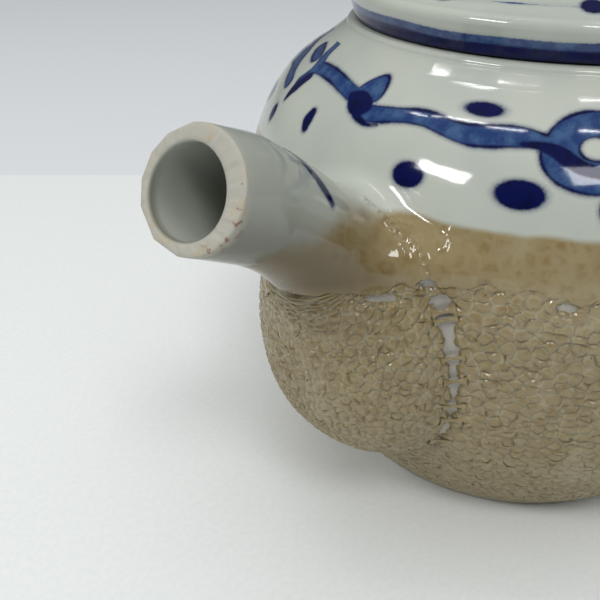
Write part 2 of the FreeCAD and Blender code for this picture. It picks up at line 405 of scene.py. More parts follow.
def seen_from(points, path):
    """Where the corners of a path lie from each point: millimetres round the pot and up its side."""
    path = np.array(path, float)
    turn = (path[None, :, 0] - azimuth_of(points)[:, None] + 180) % 360 - 180
    across = np.radians(turn) * np.hypot(points[:, 0], points[:, 1])[:, None]
    return across, arc_at(path[None, :, 1]) - arc_at(points[:, 2])[:, None]


def path_distance(across, up):
    """Distance from the origin of each row to its path, and the share of the path where it is nearest."""
    ax, ay, bx, by = across[:, :-1], up[:, :-1], across[:, 1:], up[:, 1:]
    dx, dy = bx - ax, by - ay
    t = np.clip(-(ax * dx + ay * dy) / np.maximum(dx * dx + dy * dy, 1e-9), 0, 1)
    distance = np.hypot(ax + t * dx, ay + t * dy)
    nearest = distance.argmin(1)
    rows = np.arange(len(distance))
    return distance[rows, nearest], (nearest + t[rows, nearest]) / distance.shape[1]


def stroke(points, path, start, middle, end):
    """Signed distance to a brush stroke with three half widths along it."""
    smooth = natural_spline(path, 8 * len(path))
    distance, share = path_distance(*seen_from(points, smooth))
    width = np.interp(share, [0, 0.5, 1], [start, middle, end])
    return distance - width - BRUSH_SPREAD


def filled(points, path):
    """Signed distance to a painted area with a smooth outline, negative inside."""
    loop = natural_spline(list(path) + [path[0]], 10 * len(path))
    loop[-1] = loop[0]
    across, up = seen_from(points, loop)
    distance, _ = path_distance(across, up)
    above = up > 0
    crossing = above[:, :-1] != above[:, 1:]
    rise = np.where(crossing, up[:, 1:] - up[:, :-1], 1)
    where = across[:, :-1] - up[:, :-1] * (across[:, 1:] - across[:, :-1]) / rise
    inside = (crossing & (where > 0)).sum(1) % 2 == 1
    return np.where(inside, -distance, distance) - BRUSH_SPREAD


def oval(azimuth, height, half_turn, half_rise):
    """The outline of an oval."""
    turn = np.arange(12) * math.pi / 6
    return list(zip(azimuth + half_turn * np.cos(turn), height + half_rise * np.sin(turn)))


def dot(points, azimuth, height, half_turn, half_rise):
    across, up = seen_from(points, [(azimuth, height)])
    width = math.radians(half_turn) * radius_at(height)
    rise = half_rise * 1.15
    size = np.hypot(across[:, 0] / width, up[:, 0] / rise)
    return (size - 1) * min(width, rise) - BRUSH_SPREAD


def shoulder_ink(p):
    """Signed distances to the dark cobalt and to the lighter wash. Blank stretches are far from both."""
    dark, wash = np.full(len(p), FAR), np.full(len(p), FAR)
    azimuth = azimuth_of(p)
    for copy in range(MOTIFS):
        turned_back = p.copy()
        angle = math.radians(-REPEAT * copy)
        turned_back[:, 0] = math.cos(angle) * p[:, 0] - math.sin(angle) * p[:, 1]
        turned_back[:, 1] = math.sin(angle) * p[:, 0] + math.cos(angle) * p[:, 1]
        here = (p[:, 2] > DIP_HEIGHT - 1) & ((azimuth - REPEAT * copy - MOTIF_START) % 360 < MOTIF_SPAN)
        q = turned_back[here]
        if not len(q):
            continue
        ribbon, leaf, knot = filled(q, RIBBON), filled(q, LEAF), filled(q, KNOT)
        stem = stroke(q, STEM, 1.1, 1.0, 1.1)
        inks = [knot, stroke(q, TAIL, 0.55, 0.3, 0.15), stroke(q, SLANTED_DOT, 0.75, 1.15, 0.7)]
        inks += [dot(q, *place) for place in DOTS]
        washes = [ribbon, stem, leaf]
        if copy == 0:
            outer, band = stroke(q, OUTER_ARC, 0.8, 1.2, 0.9), stroke(q, INNER_BAND, 0.6, 0.7, 1.2)
            inks.append(stroke(q, PETAL, 1.0, 1.2, 0.3))
            washes += [outer, band, stroke(q, LIGHT_PATCH, 0.9, 1.1, 0.9)]
        if copy != MOTIFS - 1:   # the last ring would lie over the first motif's scroll
            ring = np.maximum(filled(q, oval(*RING_OUTSIDE)), -filled(q, oval(*RING_HOLE)))
            inks.append(stroke(q, RING_SHADE, 0.25, 1.0, 0.7))
            washes.append(ring)
        dark[here] = np.minimum(dark[here], np.min(inks, 0))
        wash[here] = np.minimum(wash[here], np.min(washes, 0))
    return dark, wash


def spout_ink(p):
    """The end of a leaf that wraps over the tube."""
    back, up, _ = spout_local(p)
    path = []
    for station, side, _ in SPOUT_STROKE:
        radius = flare_at(station)
        path.append(LIP - station * OUTWARD + (bow(station) + math.sqrt(radius ** 2 - side ** 2)) * SPOUT_UP
                    + side * LEFT)
    count = 40
    line = natural_spline(path, count)
    widths = np.interp(np.linspace(0, 1, count), np.linspace(0, 1, len(SPOUT_STROKE)),
                       [width for _, _, width in SPOUT_STROKE])
    near = (np.abs(back - 17) < 8) & (up > 0)
    result = np.full(len(p), FAR)
    gap = np.linalg.norm(p[near][:, None] - line[None], axis=-1) - widths
    result[near] = gap.min(1)
    return result


def dip_edge(p):
    """Signed distance over the line where the crawled glaze ends, with its slow waves."""
    azimuth = np.radians(azimuth_of(p))
    edge = p[..., 2] - DIP_HEIGHT - ripple(azimuth, (0.35, 2, 0.4), (0.2, 7, 1.0), (0.12, 17, 2.0))
    on_tube = body_distance(p)
    return (edge - 3.0 * step(4.0, 12.0, on_tube)) / (1 + 3 * step(1.0, 6.0, on_tube))


def painted_tube_shade(p):
    """How much painted shade lies on the tube's glaze: a little over its top, most of all under it."""
    under = step(4.0, -5.0, spout_local(p)[1])
    return step(0.5, 6.0, body_distance(p)) * step(55.0, 60.0, p[..., 2]) * (0.27 + 0.73 * under)


def crawl_edge(p):
    """Height over the ragged line where the glaze starts to crawl. It is lower over the bag."""
    azimuth = np.radians(azimuth_of(p))
    over_bag = step(0.5, 3.0, body_distance(p))
    ragged = ripple(azimuth, (0.4, 23, 0.0), (0.35, 41, 1.1), (0.3, 67, 2.3), (0.2, 103, 0.7))
    return p[..., 2] - (CRAWL_TOP - 1.3 * over_bag + ragged)


def glaze_fields(p, **extra):
    """The fields that the glaze shader reads, for points of a piece."""
    count = len(p)
    fields = {"dip": dip_edge(p), "dark": np.full(count, FAR), "wash": np.full(count, FAR),
              "groove": np.zeros(count), "cell": np.full(count, 0.5), "bared": np.zeros(count),
              "bisque": np.zeros(count), "outline": np.full(count, NO_OUTLINE), "shade": np.zeros(count)}
    fields.update(extra)
    return fields


# ---- Materials ----
class Shader:
    """Builds a material out of nodes. Values that differ over the surface are linked into its shader."""

    def __init__(self, name):
        self.material = bpy.data.materials.new(name)
        self.material.use_nodes = True
        self.tree = self.material.node_tree
        self.surface = self.tree.nodes["Principled BSDF"]
        self.place = self.tree.nodes.new("ShaderNodeTexCoord").outputs["Object"]

    def put(self, socket, value):
        if isinstance(value, bpy.types.NodeSocket):
            self.tree.links.new(value, socket)
        else:
            socket.default_value = value

    def field(self, name):
        node = self.tree.nodes.new("ShaderNodeAttribute")
        node.attribute_name = name
        return node.outputs["Fac"]

    def noise(self, per_mm, detail=2.0, rough=0.5):
        node = self.tree.nodes.new("ShaderNodeTexNoise")
        node.inputs["Scale"].default_value = per_mm / MM
        node.inputs["Detail"].default_value = detail
        node.inputs["Roughness"].default_value = rough
        self.put(node.inputs["Vector"], self.place)
        return node.outputs["Fac"]

    def cells(self, per_mm, feature="F1"):
        node = self.tree.nodes.new("ShaderNodeTexVoronoi")
        node.feature = feature
        node.inputs["Scale"].default_value = per_mm / MM
        self.put(node.inputs["Vector"], self.place)
        return node.outputs["Distance"]

    def math(self, operation, a, b=0.0):
        node = self.tree.nodes.new("ShaderNodeMath")
        node.operation = operation
        self.put(node.inputs[0], a)
        self.put(node.inputs[1], b)
        return node.outputs[0]

    def times(self, a, b):
        return self.math("MULTIPLY", a, b)

    def between(self, value, low, high, start=0.0, end=1.0):
        node = self.tree.nodes.new("ShaderNodeMapRange")
        node.interpolation_type = "SMOOTHSTEP"
        self.put(node.inputs["Value"], value)
        for socket, number in zip(("From Min", "From Max", "To Min", "To Max"), (low, high, start, end)):
            self.put(node.inputs[socket], number)
        return node.outputs["Result"]

    def mix(self, share, a, b):
        node = self.tree.nodes.new("ShaderNodeMix")
        node.data_type = "RGBA"
        self.put(node.inputs[0], share)
        self.put(node.inputs[6], a)
        self.put(node.inputs[7], b)
        return node.outputs[2]

    def bump(self, height, depth_mm, strength=1.0):
        node = self.tree.nodes.new("ShaderNodeBump")
        node.inputs["Distance"].default_value = depth_mm * MM
        node.inputs["Strength"].default_value = strength
        self.put(node.inputs["Height"], height)
        self.put(self.surface.inputs["Normal"], node.outputs["Normal"])

    def height_mm(self):
        node = self.tree.nodes.new("ShaderNodeSeparateXYZ")
        self.put(node.inputs[0], self.place)
        return self.math("DIVIDE", node.outputs["Z"], MM)


def colour(red, green, blue):
    """A linear colour from the 0 to 255 values that a paint chart gives."""
    shares = [c / 255 for c in (red, green, blue)]
    return [s / 12.92 if s <= 0.04045 else ((s + 0.055) / 1.055) ** 2.4 for s in shares] + [1.0]


WHITE = colour(186, 190, 180)
COOL_WHITE = colour(176, 182, 173)
TAN = colour(144, 130, 94)
DEEP_TAN = colour(128, 106, 66)
PALE_TAN = colour(168, 158, 130)
GROOVE_BROWN = colour(112, 100, 76)
SPECK = colour(80, 52, 26)
COBALT = colour(5, 13, 66)
BLACK_COBALT = colour(4, 9, 48)
BLUE_WASH = colour(22, 52, 104)
PALE_WASH = colour(58, 88, 128)
BISQUE = colour(176, 174, 163)
RUST = colour(118, 66, 48)
PORCELAIN_FLOOR = colour(172, 168, 158)
# Painted shade: greyer where the glaze is white and browner over the tan dip, mixed in on the tube and inside
# the bore.
SHADE = colour(97, 94, 82)
TAN_SHADE = colour(88, 72, 42)


def glaze():
    """White glaze, tan dip, cobalt under it, crawled cells, bared porcelain and painted shade on the tube,
    all in one shader.
    """
    s = Shader("glazed_porcelain")
    cloud = s.noise(0.06, 3.0)
    mottle = s.noise(0.55, 4.0, 0.6)
    fine = s.noise(2.2, 3.0, 0.6)
    white = s.mix(s.between(cloud, 0.35, 0.7), WHITE, COOL_WHITE)

    tan = s.mix(s.between(s.field("cell"), 0.1, 0.9, 0.0, 0.22), TAN, DEEP_TAN)
    tan = s.mix(s.times(s.between(mottle, 0.45, 0.72), 0.55), tan, DEEP_TAN)
    tan = s.mix(s.times(s.between(cloud, 0.5, 0.68), 0.5), tan, PALE_TAN)
    groove = s.field("groove")
    rim = s.times(s.between(groove, 0.08, 0.35), s.between(groove, 0.9, 0.6))
    tan = s.mix(s.times(rim, 0.6), tan, PALE_TAN)
    heart = s.times(s.between(groove, 0.12, 0.02), s.between(mottle, 0.4, 0.6))
    tan = s.mix(s.times(heart, s.between(s.height_mm(), 30.0, 52.0, 0.1, 0.5)), tan, DEEP_TAN)
    net = s.between(s.cells(0.42, "DISTANCE_TO_EDGE"), 0.3, 0.0, 0.0, 0.32)
    tan = s.mix(s.times(net, s.between(mottle, 0.42, 0.58)), tan, PALE_TAN)
    blotch = s.times(s.between(s.cells(0.42), 0.42, 0.1), s.between(cloud, 0.6, 0.4))
    tan = s.mix(s.times(blotch, 0.4), tan, DEEP_TAN)
    tan = s.mix(s.between(groove, 0.7, 1.0, 0.0, 0.3), tan, GROOVE_BROWN)
    specks = s.times(s.between(s.cells(0.9), 0.13, 0.08), s.between(mottle, 0.52, 0.6))
    tan = s.mix(s.times(specks, 0.8), tan, SPECK)

    edge = s.math("ADD", s.field("dip"), s.times(s.math("SUBTRACT", cloud, 0.5), 2.0))
    dipped = s.between(edge, 0.55, -0.5)
    base = s.mix(dipped, white, tan)
    base = s.mix(s.field("bared"), base, PORCELAIN_FLOOR)
    # Painted shade on the tube and in the bore, as much as the shade field says.
    base = s.mix(s.times(s.field("shade"), 0.85), base, s.mix(dipped, SHADE, TAN_SHADE))

    soft = s.times(s.math("SUBTRACT", fine, 0.5), 0.28)
    wash_edge = s.math("ADD", s.field("wash"), soft)
    thick = s.between(s.noise(0.14, 2.0), 0.35, 0.65, -0.12, 0.16)
    outline = s.math("SUBTRACT", s.math("ABSOLUTE", wash_edge), s.math("ADD", s.field("outline"), thick))
    dark_edge = s.math("MINIMUM", s.math("ADD", s.field("dark"), soft), outline)
    streaks = s.noise(0.5, 3.0, 0.6)
    wash = s.mix(s.between(streaks, 0.35, 0.7), BLUE_WASH, PALE_WASH)
    halo = s.mix(s.times(s.between(wash_edge, 0.55, 0.0), 0.16), base, BLUE_WASH)
    inked = s.mix(s.between(wash_edge, 0.12, -0.12), halo, wash)
    halo = s.mix(s.times(s.between(dark_edge, 0.7, 0.0), 0.35), inked, BLUE_WASH)
    dark = s.mix(s.between(streaks, 0.45, 0.7), COBALT, BLACK_COBALT)
    inked = s.mix(s.between(dark_edge, 0.22, -0.24), halo, dark)

    bisque = s.field("bisque")
    stain = s.mix(s.between(mottle, 0.5, 0.75), BISQUE, colour(178, 164, 134))
    stained = s.math("ADD", s.noise(0.8, 2.0), s.times(s.field("cell"), 0.6))
    rust = s.between(stained, 1.1, 1.21, 0.0, 0.8)
    s.put(s.surface.inputs["Base Color"], s.mix(bisque, inked, s.mix(rust, stain, RUST)))

    s.put(s.surface.inputs["Specular IOR Level"], s.between(dark_edge, 0.1, -0.3, 0.5, 0.22))
    low = s.between(s.height_mm(), 50.0, 30.0, 0.05, 0.38)
    rough = s.math("ADD", low, s.times(fine, 0.05))
    s.put(s.surface.inputs["Roughness"], s.math("MAXIMUM", rough, s.times(bisque, 0.75)))
    s.surface.inputs["IOR"].default_value = 1.52
    height = s.math("ADD", s.noise(0.12, 1.0), s.times(s.noise(1.1, 2.0), 0.05))
    s.bump(height, 0.16, 0.5)
    return s.material


def porcelain(name, tint, roughness, grain):
    s = Shader(name)
    shade = s.mix(s.between(s.noise(0.1, 3.0), 0.35, 0.7), tint, [c * 0.9 for c in tint[:3]] + [1.0])
    specks = s.times(s.between(s.cells(0.4), 0.05, 0.02), 0.6)
    s.put(s.surface.inputs["Base Color"], s.mix(specks, shade, SPECK))
    rough = s.between(s.noise(0.8, 3.0), 0.2, 0.8, roughness - 0.05, roughness + 0.08)
    s.put(s.surface.inputs["Roughness"], rough)
    s.bump(s.noise(grain, 4.0, 0.7), 0.04, 0.6)
    return s.material


GLAZE = glaze()
BARE = porcelain("bare_porcelain", colour(170, 160, 142), 0.72, 3.0)
PLAIN = porcelain("plain_glazed_porcelain", colour(184, 188, 180), 0.18, 0.3)


# ---- Smooth porcelain ----
SKIN_BOTTOM = 55.0
UNDER_TOP = 62.0             # how high the porcelain under the crawled glaze is made
UNDER_PITCH = 1.0
SKIN_TOP = COLLAR_BOTTOM + 1.5
SKIN_PITCH = 0.55
SEAM_BACK = 9.0              # behind the lip, where the tube's end piece takes over
RUNS = (                     # azimuth and height along each run of glaze, then its height and half width
    (((184.5, 68.1), (190.2, 65.7), (193.4, 62.8), (195.0, 60.0)), 0.5, 0.5),
    (((189.3, 64.9), (190.7, 62.5), (191.8, 57.6)), 0.35, 0.4),
    (((191.1, 64.5), (193.6, 62.2), (194.8, 59.3)), 0.35, 0.4),
    (((196.9, 66.4), (196.8, 64.4)), 0.22, 0.5),
    (((209.4, 67.4), (209.3, 66.2)), 0.15, 0.4),
    (((185.5, 68.0), (187.9, 67.8), (190.6, 67.2)), 0.3, 0.4),
    (((172.0, 66.5), (168.0, 64.0), (165.0, 59.6)), 0.28, 0.6),
    (((168.0, 65.0), (165.4, 63.2), (163.6, 61.0)), 0.2, 0.5))
SPOT_RIM = 0.22              # height of the raised rim round a bare spot
BARE_SPOTS = (               # azimuth, height, half width and half height of each spot without glaze
    (195.7, 58.5, 1.1, 0.8), (197.6, 55.6, 1.2, 1.0), (191.0, 56.6, 1.9, 0.6), (214.6, 57.4, 1.5, 0.7),
    (233.0, 57.2, 1.6, 0.6), (251.0, 56.6, 1.0, 0.8), (281.0, 57.6, 1.4, 0.6), (309.0, 56.9, 1.0, 0.7),
    (24.0, 57.2, 1.3, 0.6), (58.0, 56.8, 1.0, 0.8), (97.0, 57.4, 1.6, 0.6), (131.0, 57.0, 1.1, 0.8),
    (152.0, 57.3, 1.4, 0.6), (162.5, 57.6, 1.2, 0.9), (169.0, 56.6, 1.7, 0.6))


def spot_gap(p):
    """How far a point is outside the nearest bare spot."""
    azimuth, radius = azimuth_of(p), np.hypot(p[..., 0], p[..., 1])
    gap = np.full(radius.shape, FAR)
    for turn, height, half_width, half_height in BARE_SPOTS:
        across = np.radians((azimuth - turn + 180) % 360 - 180) * radius / half_width
        up = (p[..., 2] - height) / half_height
        gap = np.minimum(gap, (np.hypot(across, up) - 1) * min(half_width, half_height))
    return gap


def run_lift(p):
    """Ridges of glaze that ran down the fillet beside the tube."""
    lift = np.zeros(len(p))
    near = (p[:, 0] < 0) & (np.abs(p[:, 2] - 63) < 7)
    for path, height, width in RUNS:
        turn = np.radians([azimuth for azimuth, _ in path])
        line = np.stack([56 * np.cos(turn), 56 * np.sin(turn), [z for _, z in path]], -1)
        line = natural_spline(settle(pot_distance, line), 24)
        gap = np.linalg.norm(p[near][:, None] - line[None], axis=-1).min(1)
        lift[near] = np.maximum(lift[near], height * np.exp(-(gap / width) ** 2))
    return lift


def skin_lift(p):
    """How far the smooth porcelain stands over the plain outside: sunk under the crawled glaze."""
    gap = spot_gap(p)
    whole = step(-0.35, 0.45, crawl_edge(p)) * step(-0.25, 0.2, gap)
    sunk = PORCELAIN_DEPTH * (1 - whole) - SPOT_RIM * whole * np.exp(-((gap - 0.45) / 0.3) ** 2)
    tucked = 0.15 * step(COLLAR_BOTTOM, SKIN_TOP, p[..., 2])
    back = spout_local(p)[0]
    on_tube = step(2.0, 5.0, body_distance(p))
    tucked = tucked + 0.12 * on_tube * (1 - step(SEAM_BACK, SEAM_BACK + 3, back))
    return run_lift(p) - sunk - tucked


def lifted_normals(p, normals):
    """The directions out of the skin after its lift has been added."""
    slope = gradient(skin_lift, p)
    slope -= (slope * normals).sum(-1)[:, None] * normals
    return unit(normals - slope)


def wall_mesh(left_end, bottom, top, pitch, wanted):
    """Points, quads and directions out of the part of the pot's outside where wanted(points) holds."""
    reach = BELLY_RADIUS + 1
    points, quads = surface_net(pot_distance, (left_end, -reach, bottom), (reach, reach, top), pitch)
    points = relaxed(pot_distance, points, quads)
    quads = quads[wanted(points)[quads].all(1)]
    used, (quads,) = without_loose_points(points, [quads])
    points = points[used]
    return points, quads, unit(gradient(pot_distance, points))


def skin():
    """The shoulder, the tube's root and the fillets between them."""
    def wanted(p):
        return (spout_local(p)[0] > SEAM_BACK) & (p[:, 2] > SKIN_BOTTOM + 0.3) & (p[:, 2] < SKIN_TOP)

    points, quads, normals = wall_mesh(box("spout_tube")[0][0], SKIN_BOTTOM, SKIN_TOP + 1, SKIN_PITCH, wanted)
    placed = points + normals * skin_lift(points)[:, None]
    ridged = (points[:, 2] < DIP_HEIGHT + 3) & (np.abs(skin_lift(points)) > 0.004)
    normals[ridged] = lifted_normals(points[ridged], normals[ridged])
    dark, wash = shoulder_ink(points)
    on_spout = step(2.0, 3.0, body_distance(points))
    dark, wash = dark + FAR * on_spout, wash + FAR * on_spout
    dark = np.minimum(dark, spout_ink(points))
    bared = 1 - step(-0.5, 0.2, crawl_edge(points)) * step(-0.15, 0.1, spot_gap(points))
    fields = glaze_fields(points, dark=dark, wash=wash, bared=bared, shade=painted_tube_shade(points),
                          outline=np.full(len(points), OUTLINE_HALF))
    make_piece("shoulder_and_spout_root", placed, [quads], "pot", GLAZE,
               ["pot_body", "spout_tube"], fields, normals)


def under_wall():
    """Porcelain under the crawled glaze, seen in its gaps, in the crease and at the foot."""
    def wanted(p):
        return (p[:, 2] > FOOT_HEIGHT - 0.9) & (p[:, 2] < UNDER_TOP)

    points, quads, normals = wall_mesh(POUCH_CENTRE[0] - POUCH_AXES[0] - 2, FOOT_HEIGHT - 1.2, UNDER_TOP + 1,
                                       UNDER_PITCH, wanted)
    base = 1 - step(CRAWL_BOTTOM - 0.6, CRAWL_BOTTOM + 0.8, points[:, 2])
    placed = points - normals * (PORCELAIN_DEPTH * (1 - 0.95 * base))[:, None]
    fields = glaze_fields(points, bared=1 - base)
    make_piece("wall_under_glaze", placed, [quads], "pot", GLAZE, (), fields, normals)


# ---- Crawled glaze ----
# Height in a flat copy of the belly that keeps angles, for each point of the outline.
CONFORMAL = np.concatenate([[0], np.cumsum(np.diff(OUTLINE_ARC) * BELLY_RADIUS
                                           / ((OUTLINE[1:, 0] + OUTLINE[:-1, 0]) / 2))])
POUCH_FLAT = 2 * POUCH_AXES[1]   # scale of the bag's flat copy
EDGE_BEND = 0.2              # how far the sides of the cells bend, as a share of their length
HEALED_SHARE, HEALED_DEPTH = 0.2, 0.3   # of the sides that have closed up again, and what is left of them
LEAST_DEPTH, MOST_DEPTH = 0.3, 1.15     # of a groove, as shares of the glaze's depth
SHOULDER_DEPTH = 0.42        # of a scale's shoulder, as a share of the groove beside it
SHOULDER_INSET = 0.2
CREST_SHARE = 0.6            # how far out the flat top of a scale reaches
JITTER = 0.36                # how far each seed is out of its place in the rows, in cells


def voronoi_cells(seeds, wanted):
    """Cells round the wanted seeds. Returns the corner points and the middles of the sides, then for each
    side of a cell: the cell, its first corner, its middle, and where the cell's next side is listed."""
    triangles = np.array(delaunay_2d_cdt([Vector(s) for s in seeds], [], [], 0, 1e-6)[2], int)
    a, b, c = (seeds[triangles[:, k]] for k in range(3))
    ab, ac = b - a, c - a
    cross = 2 * (ab[:, 0] * ac[:, 1] - ab[:, 1] * ac[:, 0])
    cross = np.where(np.abs(cross) < 1e-9, 1e-9, cross)
    ab2, ac2 = (ab ** 2).sum(1), (ac ** 2).sum(1)
    offset = np.stack([ac[:, 1] * ab2 - ab[:, 1] * ac2, ab[:, 0] * ac2 - ac[:, 0] * ab2], -1) / cross[:, None]
    centroid = (ab + ac) / 3
    away = offset - centroid
    limit = 0.4 * (np.sqrt(ab2) + np.sqrt(ac2)) / 2
    reach = np.maximum(np.linalg.norm(away, axis=1), 1e-9)
    corners = a + centroid + away * np.minimum(1, limit / reach)[:, None]
    cell = triangles.ravel()
    corner = np.repeat(np.arange(len(triangles)), 3)
    keep = wanted[cell]
    cell, corner = cell[keep], corner[keep]
    direction = corners[corner] - seeds[cell]
    order = np.lexsort([np.arctan2(direction[:, 1], direction[:, 0]), cell])
    cell, corner = cell[order], corner[order]
    starts = np.flatnonzero(np.r_[True, cell[1:] != cell[:-1]])
    after = np.arange(1, len(cell) + 1)
    after[np.r_[starts[1:] - 1, len(cell) - 1]] = starts
    pairs = np.sort(np.stack([corner, corner[after]], -1), 1)
    sides, side = np.unique(pairs, axis=0, return_inverse=True)
    first, second = corners[sides[:, 0]], corners[sides[:, 1]]
    along = second - first
    bend = RANDOM.normal(0, EDGE_BEND, len(sides))
    middles = (first + second) / 2 + np.stack([-along[:, 1], along[:, 0]], -1) * bend[:, None]
    return corners, middles, cell, corner, side.ravel(), after


def crackle(seeds, wanted, place, shrink):
    """Domed cells with grooves between them. Place turns flat points into points on the pot and the
    directions out of it; shrink gives the millimetres of one flat unit."""
    corners, middles, cell, corner, side, after = voronoi_cells(seeds, wanted)
    spots = np.concatenate([corners, middles])
    spot_depth = np.clip(RANDOM.normal(0.85, 0.2, len(spots)), LEAST_DEPTH, MOST_DEPTH)
    healed = np.arange(len(spots)) >= len(corners)
    healed &= RANDOM.random(len(spots)) < HEALED_SHARE
    spot_depth[healed] *= HEALED_DEPTH
    ring_a, ring_m = corner, len(corners) + side
    cells, cell_index = np.unique(cell, return_inverse=True)
    centre = seeds[cells]
    outer = np.concatenate([spots[ring_a], spots[ring_m]])
    owner = np.concatenate([cell_index, cell_index])
    depth = spot_depth[np.concatenate([ring_a, ring_m])]
    away = outer - centre[owner]
    reach = np.linalg.norm(away, axis=1)
    mean = np.bincount(owner, reach, len(cells)) / np.bincount(owner, minlength=len(cells))
    reach = np.minimum(reach, 1.22 * mean[owner])
    direction = unit(away)
    inset = SHOULDER_INSET / shrink(centre[owner])
    rounded = np.minimum(np.maximum(reach - inset, 0.5 * reach), 0.86 * mean[owner])
    shoulder = centre[owner] + direction * rounded[:, None]
    crest = centre[owner] + direction * (rounded * CREST_SHARE)[:, None]
    count = len(outer)
    half = len(cell)
    flat = np.concatenate([spots, shoulder, crest, centre])
    tone = RANDOM.random(len(cells))
    rise = RANDOM.normal(0, 0.05, len(cells))
    lift = np.concatenate([-GLAZE_DEPTH * spot_depth, -GLAZE_DEPTH * SHOULDER_DEPTH * depth - 0.04,
                           np.minimum(rise[owner] - 0.05, -0.02), np.minimum(rise, -0.01)])
    groove = np.concatenate([0.3 + 0.7 * np.clip(spot_depth, 0, 1), 0.2 * depth, np.zeros(count),
                             np.zeros(len(cells))])
    spot_tone = np.full(len(spots), 0.5)
    cell_tone = np.concatenate([spot_tone, tone[owner], tone[owner], tone])
    shoulders = len(spots)
    crests, centres = shoulders + count, shoulders + 2 * count
    here, there = np.arange(half), np.arange(half, count)
    quads, fans = [], []
    for first, last, spot_first, spot_last in ((here, there, ring_a, ring_m),
                                               (there, after, ring_m, ring_a[after])):
        quads.append(np.stack([spot_first, spot_last, shoulders + last, shoulders + first], -1))
        quads.append(np.stack([shoulders + first, shoulders + last, crests + last, crests + first], -1))
        fans.append(np.stack([crests + first, crests + last, centres + cell_index], -1))
    base, normals = place(flat)
    return base, normals, lift, groove, cell_tone, np.concatenate(quads), np.concatenate(fans)


def finish_crackle(name, parts, cover, body, replaces):
    """Sinks the cells under the porcelain where there is no glaze and drops what is hidden."""
    base, normals, lift, groove, tone, quads, fans = parts
    share = cover(base)
    placed = base + normals * (lift * (0.35 + 0.65 * share) - 1.1 * (1 - share) ** 2)[:, None]
    seen = share > 0.02
    quads, fans = quads[seen[quads].any(1)], fans[seen[fans].any(1)]
    used, (quads, fans) = without_loose_points(placed, [quads, fans])
    fields = glaze_fields(base[used], groove=groove[used] * share[used], cell=tone[used])
    return make_piece(name, placed[used], [quads, fans], body, GLAZE, replaces, fields)


def belly_seeds(cell_width, cell_height):
    """Jittered rows of seeds in a flat copy of the belly that keeps angles. Heights are from the foot."""
    low, high = arc_at(FOOT_HEIGHT - 1.5), arc_at(CRAWL_TOP + 3)
    arcs = np.arange(low, high, cell_height)
    flat = []
    for row, height in enumerate(arcs):
        radius = np.interp(height, OUTLINE_ARC, OUTLINE[:, 0])
        count = int(round(2 * math.pi * radius / cell_width))
        place = np.arange(count) + 0.5 * (row % 2) + RANDOM.uniform(-JITTER, JITTER, count)
        turn = place * 2 * math.pi / count
        arc_here = height + RANDOM.uniform(-JITTER, JITTER, count) * cell_height
        risen = np.interp(arc_here, OUTLINE_ARC, CONFORMAL)
        flat.append(np.stack([turn % (2 * math.pi) * BELLY_RADIUS, risen], -1))
    return np.concatenate(flat)


def on_belly(flat):
    turn = flat[:, 0] / BELLY_RADIUS
    arc_here = np.interp(flat[:, 1], CONFORMAL, OUTLINE_ARC)
    radius, height = (np.interp(arc_here, OUTLINE_ARC, OUTLINE[:, k]) for k in (0, 1))
    points = np.stack([radius * np.cos(turn), radius * np.sin(turn), height], -1)
    near = growth_distance(points) < 12
    near &= growth_distance(points) > -1
    points[near] = settle(pot_distance, points[near], 3)
    return points, unit(gradient(pot_distance, points))


def belly_shrink(flat):
    arc_here = np.interp(flat[:, 1], CONFORMAL, OUTLINE_ARC)
    return np.interp(arc_here, OUTLINE_ARC, OUTLINE[:, 0]) / BELLY_RADIUS


def foot_edge(p):
    azimuth = np.radians(azimuth_of(p))
    return p[..., 2] - CRAWL_BOTTOM - ripple(azimuth, (0.5, 19, 0.3), (0.4, 47, 1.9), (0.3, 83, 0.2))


def clear_of_crease(distance, p):
    """The bare channel along the crease is widest near its top."""
    z = p[..., 2]
    half = CREASE_HALF * (0.6 + 0.4 * step(32, 54, z)) + ripple(z, (0.12, 1.1, 0.3), (0.08, 2.9, 1.0))
    return step(half - 0.3, half + 0.35, distance) * step(-0.15, 0.3, spot_gap(p))


def belly_cover(p):
    whole = clear_of_crease(growth_distance(p), p)
    return whole * (1 - step(0.2, 1.3, crawl_edge(p))) * step(-0.3, 0.5, foot_edge(p))


def pouch_cover(p):
    return clear_of_crease(body_distance(p), p) * (1 - step(0.2, 1.3, crawl_edge(p)))


def belly_glaze():
    """The crawled glaze on the pot's wall, in two halves."""
    seeds = belly_seeds(*BELLY_CELL)
    period = 2 * math.pi * BELLY_RADIUS
    margin = 4 * BELLY_CELL[0]
    left, right = seeds[seeds[:, 0] < margin], seeds[seeds[:, 0] > period - margin]
    everything = np.concatenate([seeds, left + [period, 0], right - [period, 0]])
    own = np.arange(len(everything)) < len(seeds)
    points, _ = on_belly(everything)
    shown = growth_distance(points) > -1.5
    rows = everything[:, 1]
    inner = (rows > rows.min() + 1) & (rows < rows.max() - 1)
    halves = 2
    for part in range(halves):
        after_start = everything[:, 0] >= period * part / halves
        wanted = own & shown & inner & after_start & (everything[:, 0] < period * (part + 1) / halves)
        parts = crackle(everything, wanted, on_belly, belly_shrink)
        finish_crackle("belly_glaze_%d" % (part + 1), parts, belly_cover, "pot", ["pot_body"])


def on_pouch(flat):
    """From a flat copy, seen from inside the bag towards the spout, back to the bag's surface."""
    x, y = flat[:, 0] / POUCH_FLAT, flat[:, 1] / POUCH_FLAT
    size = 1 + x * x + y * y
    ball = np.stack([-(2 - size) / size, 2 * x / size, 2 * y / size], -1)
    points = POUCH_CENTRE + ball * POUCH_AXES
    points = settle(growth_distance, points, 4)
    points = settle(pot_distance, points, 3)
    return points, unit(gradient(pot_distance, points))


def pouch_shrink(flat):
    return 2 * POUCH_AXES[0] / (POUCH_FLAT + (flat ** 2).sum(-1) / POUCH_FLAT)


